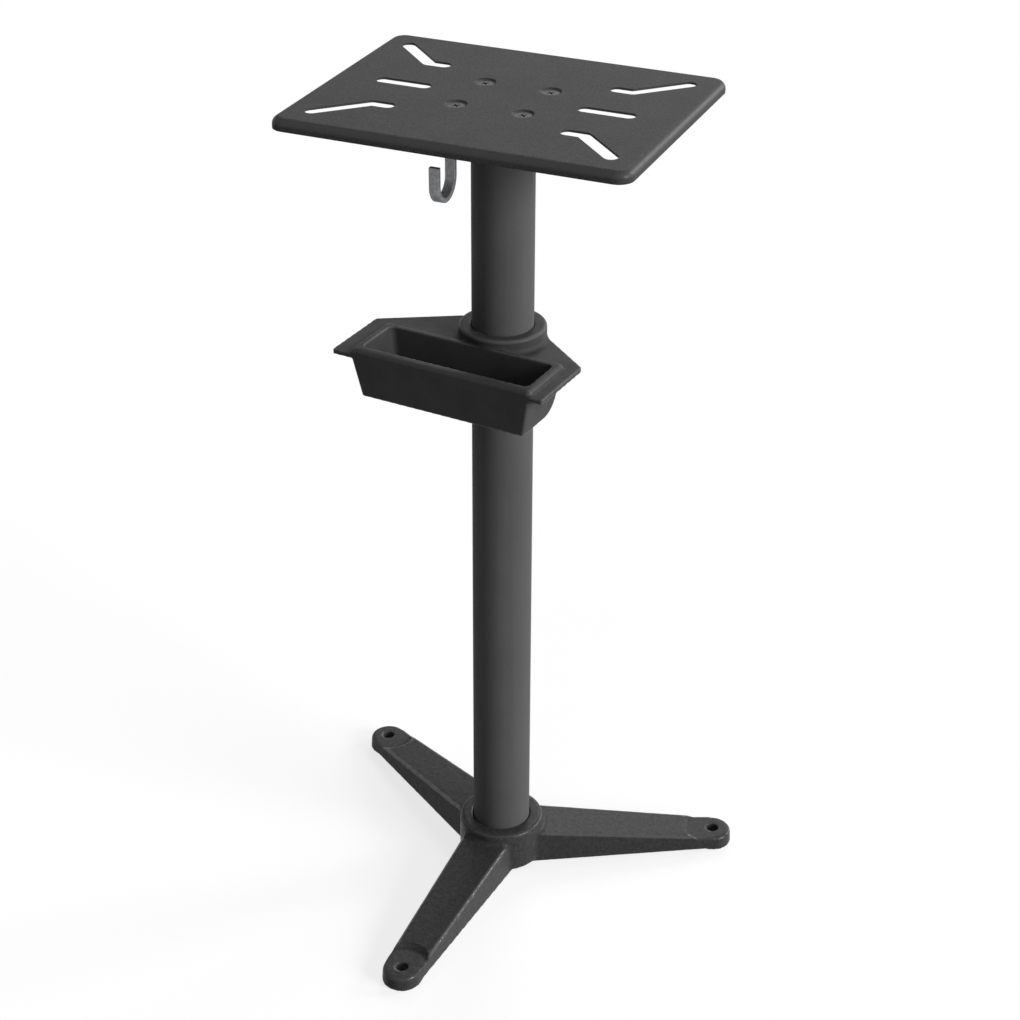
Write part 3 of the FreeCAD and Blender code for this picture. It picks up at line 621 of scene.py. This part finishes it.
def closed_copy(node: str) -> bpy.types.Object:
    """Copy a node's mesh with the seams between its faces joined up.

    Args:
        node: The node's name.

    Returns:
        A new object at the frame's origin.
    """
    mesh = bpy.data.meshes.new(node + "_skin")
    shell = bmesh.new()
    shell.from_mesh(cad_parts[node].data)
    bmesh.ops.remove_doubles(shell, verts=shell.verts, dist=SEAM)
    shell.to_mesh(mesh)
    shell.free()
    return new_piece(node + "_skin", mesh)


def softened(node: str, voxel: float, passes: int) -> bpy.types.Object:
    """A finely meshed skin over a node, with every edge rounded as a casting or moulding has it.

    Args:
        node: The node that the skin follows.
        voxel: The size of the skin's mesh, in metres.
        passes: How many times it is smoothed, which sets the edges' radius.

    Returns:
        The skin, at the frame's origin.
    """
    rough = closed_copy(node)
    remesh = rough.modifiers.new("skin", "REMESH")
    remesh.mode = "VOXEL"
    remesh.voxel_size = voxel
    remesh.use_smooth_shade = True
    smooth = rough.modifiers.new("soften", "SMOOTH")
    smooth.factor = PASS_STRENGTH
    smooth.iterations = passes
    graph = bpy.context.evaluated_depsgraph_get()
    mesh = bpy.data.meshes.new_from_object(rough.evaluated_get(graph))
    mesh.materials.clear()
    old = rough.data
    bpy.data.objects.remove(rough)
    bpy.data.meshes.remove(old)
    return new_piece(node + "_finished", mesh)


def roughen(piece: bpy.types.Object, node: str, size: float, depth: float) -> None:
    """Give a skin the gentle unevenness of a casting, kept inside its node's box.

    Args:
        piece: The skin.
        node: The node whose box it stays in.
        size: The size of the lumps, in metres.
        depth: How far they stand out or in, in metres.
    """
    mesh = piece.data
    points = np.empty(len(mesh.vertices) * 3)
    normals = np.empty(len(mesh.vertices) * 3)
    mesh.vertices.foreach_get("co", points)
    mesh.vertices.foreach_get("normal", normals)
    points = points.reshape(-1, 3)
    normals = normals.reshape(-1, 3)
    lumps = [noise.fractal(Vector(point) / size, LUMP_FALL, LUMP_STEP, LUMP_LAYERS) for point in points]
    points = points + normals * (np.array(lumps) * depth)[:, None]
    low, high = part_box(node)
    points = np.clip(points, np.array(low), np.array(high))
    mesh.vertices.foreach_set("co", points.reshape(-1))
    mesh.update()


def drill(piece: bpy.types.Object, centre: Vector, radius: float, reach: float) -> None:
    """Make the wall of an upright hole in a skin truly round.

    Args:
        piece: The skin.
        centre: A point on the hole's axis.
        radius: The hole's radius, in metres.
        reach: How far outside that radius a point still counts as the hole's wall.
    """
    for vertex in piece.data.vertices:
        offset = Vector((vertex.co.x - centre.x, vertex.co.y - centre.y, 0.0))
        if offset.length < radius + reach:
            wall = offset.normalized() * radius
            vertex.co.x = centre.x + wall.x
            vertex.co.y = centre.y + wall.y


def grid_mesh(name: str, rows: Sequence[Sequence[Vector]], ring: bool) -> bpy.types.Mesh:
    """A mesh through rows of points, each row a closed loop.

    Args:
        name: The mesh's name.
        rows: The loops, in order, with as many points each.
        ring: Whether the last row joins the first. If not, both ends are capped.

    Returns:
        The mesh, smooth shaded, with its faces turned outwards.
    """
    mesh = bpy.data.meshes.new(name)
    build = bmesh.new()
    loops = [[build.verts.new(point) for point in row] for row in rows]
    pairs = list(zip(loops, loops[1:]))
    if ring:
        pairs.append((loops[-1], loops[0]))
    for near, far in pairs:
        for index in range(len(near)):
            after = (index + 1) % len(near)
            build.faces.new((near[index], near[after], far[after], far[index]))
    if not ring:
        build.faces.new(loops[0][::-1])
        build.faces.new(loops[-1])
    bmesh.ops.recalc_face_normals(build, faces=build.faces)
    for face in build.faces:
        face.smooth = True
    build.to_mesh(mesh)
    build.free()
    return mesh


def direction(turn: float) -> Vector:
    """The level direction at an angle from +X, in radians."""
    return Vector((math.cos(turn), math.sin(turn), 0.0))


# ---------------------------------------------------------------- sub-assemblies
@dataclass
class Assembly(ABC):
    """What every sub-assembly has: the finishes, its body, and a way to report its pieces."""

    finishes: Finishes
    body: Body = Body.STAND

    @abstractmethod
    def build(self) -> None:
        """Build and dress the sub-assembly's pieces."""

    def keep(self, node: str, slot: Slot) -> None:
        """Dress a node whose own shape is shown, in a slot's finish."""
        self.finishes.dress(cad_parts[node], slot)
        LOG.info("%s: kept, finish %s", node, slot.value)

    def add(self, piece: bpy.types.Object, slot: Slot, *nodes: str) -> None:
        """Dress a new piece and let it ride on this sub-assembly's body.

        Args:
            piece: The new piece.
            slot: The finish that it takes.
            nodes: The nodes that it stands for, which no longer show.
        """
        self.finishes.dress(piece, slot)
        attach(piece, self.body.value)
        if nodes:
            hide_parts(*nodes)
        LOG.info("%s: built, %d faces, finish %s", piece.name, len(piece.data.polygons), slot.value)


@dataclass
class TripodBase(Assembly):
    """The iron base: a hub and three hollow legs in one casting, and its set screw."""

    voxel: float = 1.0 * MM
    passes: int = 4
    lump: float = 7.0 * MM
    lump_depth: float = 0.12 * MM
    foot_circle_radius: float = 220.5 * MM
    foot_hole_radius: float = 6.0 * MM
    wall_reach: float = 0.45 * MM
    first_leg: float = -92.3
    legs: int = 3

    def build(self) -> None:
        """Build the casting's skin and dress the set screw."""
        casting = softened("base_casting", self.voxel, self.passes)
        roughen(casting, "base_casting", self.lump, self.lump_depth)
        for leg in range(self.legs):
            outward = direction(math.radians(self.first_leg + 360 / self.legs * leg))
            drill(casting, outward * self.foot_circle_radius, self.foot_hole_radius, self.wall_reach)
        self.add(casting, Slot.CAST_BLACK, "base_casting")
        self.keep("base_set_screw", Slot.BLACK_OXIDE)


@dataclass
class Column(Assembly):
    """The tube, the square plate at its head and the weld between them.

    The weld's face is crowned by a share of its leg, and a flatness over 1 makes it flatter than
    a circle's arc.  Each ripple stands highest near its start, where it rises and falls steeply,
    and the bead wanders in and out as it goes round.
    """

    bead_leg: float = 4.6 * MM
    bead_root: float = 0.4 * MM
    crown: float = 0.12
    flatness: float = 1.3
    ripple_pitch: float = 2.3 * MM
    ripple_height: float = 0.28 * MM
    ripple_start: float = 0.25
    ripple_steepness: float = 4.0
    wander: float = 0.25 * MM
    wander_rate: float = 5.0
    steps_in_ripple: int = 8
    steps_in_profile: int = 9

    def build(self) -> None:
        """Dress the tube and its plate, and build the weld bead."""
        self.keep("column_tube", Slot.COLUMN_BLACK)
        self.keep("column_head_plate", Slot.COLUMN_BLACK)
        bead = new_piece("weld_bead", grid_mesh("weld_bead", self.bead_rows(), ring=True))
        self.add(bead, Slot.COLUMN_BLACK, "column_weld_bead")

    def bead_rows(self) -> list[list[Vector]]:
        """The bead's cross-sections round the tube, each swollen by its ripple.

        Returns:
            One closed loop of points for each step round the tube.
        """
        tube_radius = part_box("column_tube")[1].x
        plate_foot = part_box("column_head_plate")[0].z
        ripples = round(2 * math.pi * (tube_radius + self.bead_leg) / self.ripple_pitch)
        steps = ripples * self.steps_in_ripple
        rows = []
        for step in range(steps):
            outward = direction(2 * math.pi * step / steps)
            along = (step % self.steps_in_ripple) / self.steps_in_ripple
            rise = min(1.0, along * self.ripple_steepness + self.ripple_start)
            swell = self.ripple_height * (1 - along) * math.sin(math.pi * rise)
            wander = self.wander * noise.noise(outward * self.wander_rate)
            leg = self.bead_leg + wander + swell
            rows.append(self.bead_profile(outward, tube_radius, plate_foot, leg))
        return rows

    def bead_profile(self, outward: Vector, tube_radius: float, plate_foot: float,
                     leg: float) -> list[Vector]:
        """One cross-section of the bead: its root in the corner, then its crowned face.

        Args:
            outward: The level direction of the cross-section.
            tube_radius: The radius of the tube that the bead runs round.
            plate_foot: The height of the plate's underside.
            leg: How far the bead reaches along the plate and down the tube.

        Returns:
            The cross-section's points.
        """
        profile = [outward * (tube_radius - self.bead_root) + Vector((0, 0, plate_foot + self.bead_root))]
        for part in range(self.steps_in_profile):
            turn = math.pi / 2 * part / (self.steps_in_profile - 1)
            reach = leg * (1 + self.crown * math.sin(2 * turn))
            side = outward * (tube_radius + reach * math.cos(turn) ** self.flatness)
            profile.append(side + Vector((0, 0, plate_foot - reach * math.sin(turn) ** self.flatness)))
        return profile


@dataclass
class TopPlate(Assembly):
    """The slotted plate that the grinder stands on."""

    def build(self) -> None:
        """Dress the plate."""
        self.keep("top_plate", Slot.PLATE_BLACK)


@dataclass
class PlateBolts(Assembly):
    """The four bolts through the plate, each with its washers and nut, and the thread that shows.

    half_foot, below_nut, run_in and run_out are in pitches: half of the foot of the thread's
    ridge, the gap under the nut, and the lengths in which the ridge rises and fades.
    """

    count: int = 4
    shank_radius: float = 4.0 * MM
    pitch: float = 1.25 * MM
    crest: float = 0.26 * MM
    root: float = 0.15 * MM
    half_foot: float = 0.42
    below_nut: float = 0.25
    run_in: float = 0.5
    run_out: float = 0.25
    steps_in_turn: int = 40

    def build(self) -> None:
        """Dress each set of fasteners and build the thread below each nut."""
        for number in range(1, self.count + 1):
            self.keep(f"plate_bolt_{number}", Slot.BLACK_OXIDE)
            self.keep(f"plate_washer_{number}", Slot.ZINC_BRIGHT)
            self.keep(f"plate_lock_washer_{number}", Slot.ZINC_BRIGHT)
            self.keep(f"plate_nut_{number}", Slot.ZINC_BRIGHT)
            name = f"plate_bolt_{number}_thread"
            thread = new_piece(name, grid_mesh(name, self.thread_rows(number), ring=False))
            self.add(thread, Slot.BLACK_OXIDE)

    def thread_rows(self, number: int) -> list[list[Vector]]:
        """The thread's ridge, as cross-sections along its helix.

        Args:
            number: Which bolt it is on.

        Returns:
            One triangle of points for each step of the helix.
        """
        low_corner, high_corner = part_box(f"plate_bolt_{number}")
        axis = (low_corner + high_corner) / 2
        low = low_corner.z + self.pitch
        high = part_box(f"plate_nut_{number}")[0].z - self.pitch * self.below_nut
        steps = int((high - low) / self.pitch * self.steps_in_turn)
        rise = Vector((0, 0, self.pitch * self.half_foot))
        rows = []
        for step in range(steps + 1):
            turns = step / self.steps_in_turn
            turns_left = (steps - step) / self.steps_in_turn
            taper = min(1.0, turns / self.run_in, turns_left / self.run_out)
            outward = direction(2 * math.pi * turns)
            heart = Vector((axis.x, axis.y, low + self.pitch * turns))
            inner = heart + outward * (self.shank_radius - self.root)
            outer = heart + outward * (self.shank_radius + self.crest * taper)
            rows.append([inner - rise, outer, inner + rise])
        return rows


@dataclass
class LeadHook(Assembly):
    """The flat bar bent to a J under the front left bolt."""

    voxel: float = 0.42 * MM
    passes: int = 4

    def build(self) -> None:
        """Build the bar with its edges broken."""
        self.add(softened("hook", self.voxel, self.passes), Slot.ZINC_GREY, "hook")


@dataclass
class StopCollar(Assembly):
    """The ring that carries the tray, and its set screw."""

    body: Body = Body.TRAY_STOP

    def build(self) -> None:
        """Dress the ring and its screw."""
        self.keep("stop_collar", Slot.COLUMN_BLACK)
        self.keep("stop_collar_screw", Slot.BLACK_OXIDE)


@dataclass
class ToolTray(Assembly):
    """The moulded tray: collar, flange and trough in one."""

    body: Body = Body.TRAY
    voxel: float = 0.85 * MM
    passes: int = 4

    def build(self) -> None:
        """Build the moulding with its edges softened."""
        self.add(softened("tray", self.voxel, self.passes), Slot.TRAY_BLACK, "tray")


# ---------------------------------------------------------------- studio
@dataclass(frozen=True)
class Lamp:
    """A soft, distant lamp, placed by the bearing and height that its light comes from."""

    name: str
    bearing: float
    elevation: float
    strength: float
    spread: float
    distance: float = 3.0

    def hang(self) -> None:
        """Hang the lamp and turn it to the stand."""
        data = bpy.data.lights.new(self.name, "SUN")
        data.energy = self.strength
        data.angle = math.radians(self.spread)
        lamp = bpy.data.objects.new(self.name, data)
        bpy.context.scene.collection.objects.link(lamp)
        rise = math.radians(self.elevation)
        towards = direction(math.radians(self.bearing)) * math.cos(rise) + Vector((0, 0, math.sin(rise)))
        lamp.rotation_euler = towards.to_track_quat("Z", "Y").to_euler()
        lamp.location = towards * self.distance


@dataclass(frozen=True)
class Viewpoint:
    """The camera: where it stands, how it is turned, and how wide and how far it sees.

    Its focal length is in pixels of a picture that is image_pixels wide.
    """

    place: tuple[float, float, float] = (0.72331, -1.69007, 1.45515)
    bearing: float = 22.943
    fall: float = 29.740
    roll: float = 0.281
    focal_pixels: float = 2229.6
    image_pixels: float = 1020.0
    sensor: float = 36.0
    sight: float = 120.0

    def set_up(self) -> None:
        """Place the camera and give it its view."""
        data = bpy.data.cameras.new("camera")
        data.sensor_width = self.sensor
        data.lens = self.sensor * self.focal_pixels / self.image_pixels
        data.clip_end = self.sight
        camera = bpy.data.objects.new("camera", data)
        bpy.context.scene.collection.objects.link(camera)
        turn = Matrix.Rotation(math.radians(self.bearing), 4, "Z")
        tilt = Matrix.Rotation(math.radians(90 - self.fall), 4, "X")
        roll = Matrix.Rotation(math.radians(self.roll), 4, "Z")
        camera.matrix_world = Matrix.Translation(self.place) @ turn @ tilt @ roll
        bpy.context.scene.camera = camera


@dataclass(frozen=True)
class Studio:
    """A pale floor, plain soft lamps and the camera."""

    floor_radius: float = 30.0
    floor_sides: int = 64
    surround: float = 0.10
    lamps: tuple[Lamp, ...] = (
        Lamp("key", bearing=-9.0, elevation=19.0, strength=2.8, spread=30.0),
        Lamp("side", bearing=43.0, elevation=22.0, strength=0.9, spread=14.0),
        Lamp("rim", bearing=63.0, elevation=13.0, strength=0.45, spread=20.0),
        Lamp("back", bearing=102.0, elevation=36.0, strength=0.85, spread=22.0),
        Lamp("fill", bearing=-75.0, elevation=45.0, strength=0.15, spread=40.0),
    )

    def build(self) -> None:
        """Set up the studio."""
        self.build_floor()
        self.build_world()
        for lamp in self.lamps:
            lamp.hang()
        Viewpoint().set_up()
        bpy.context.scene.view_settings.view_transform = "Standard"

    def build_floor(self) -> None:
        """Lay a round floor."""
        build = bmesh.new()
        turns = [2 * math.pi * side / self.floor_sides for side in range(self.floor_sides)]
        build.faces.new([build.verts.new(direction(turn) * self.floor_radius) for turn in turns])
        mesh = bpy.data.meshes.new("floor")
        build.to_mesh(mesh)
        build.free()
        mesh.materials.append(FloorPaper().material())
        floor = new_piece("floor", mesh)

    def build_world(self) -> None:
        """Surround the stand with an even light that is seen as white."""
        world = bpy.data.worlds.new("surround")
        bpy.context.scene.world = world
        world.use_nodes = True
        tree = world.node_tree
        tree.nodes.clear()
        output = tree.nodes.new("ShaderNodeOutputWorld")
        background = tree.nodes.new("ShaderNodeBackground")
        background.inputs["Color"].default_value = WHITE
        level = tree.nodes.new("ShaderNodeMapRange")
        level.inputs["To Min"].default_value = self.surround
        level.inputs["To Max"].default_value = 1.0
        tree.links.new(seen_rays(tree), level.inputs["Value"])
        tree.links.new(level.outputs["Result"], background.inputs["Strength"])
        tree.links.new(background.outputs["Background"], output.inputs["Surface"])


def main() -> None:
    """Build and dress the whole stand, from the floor up, in its studio."""
    logging.basicConfig(level=logging.INFO, format="%(message)s")
    finishes = Finishes()
    for assembly in (TripodBase(finishes), Column(finishes), StopCollar(finishes), ToolTray(finishes),
                     LeadHook(finishes), TopPlate(finishes), PlateBolts(finishes)):
        assembly.build()
    Studio().build()


if __name__ == "__main__":
    main()
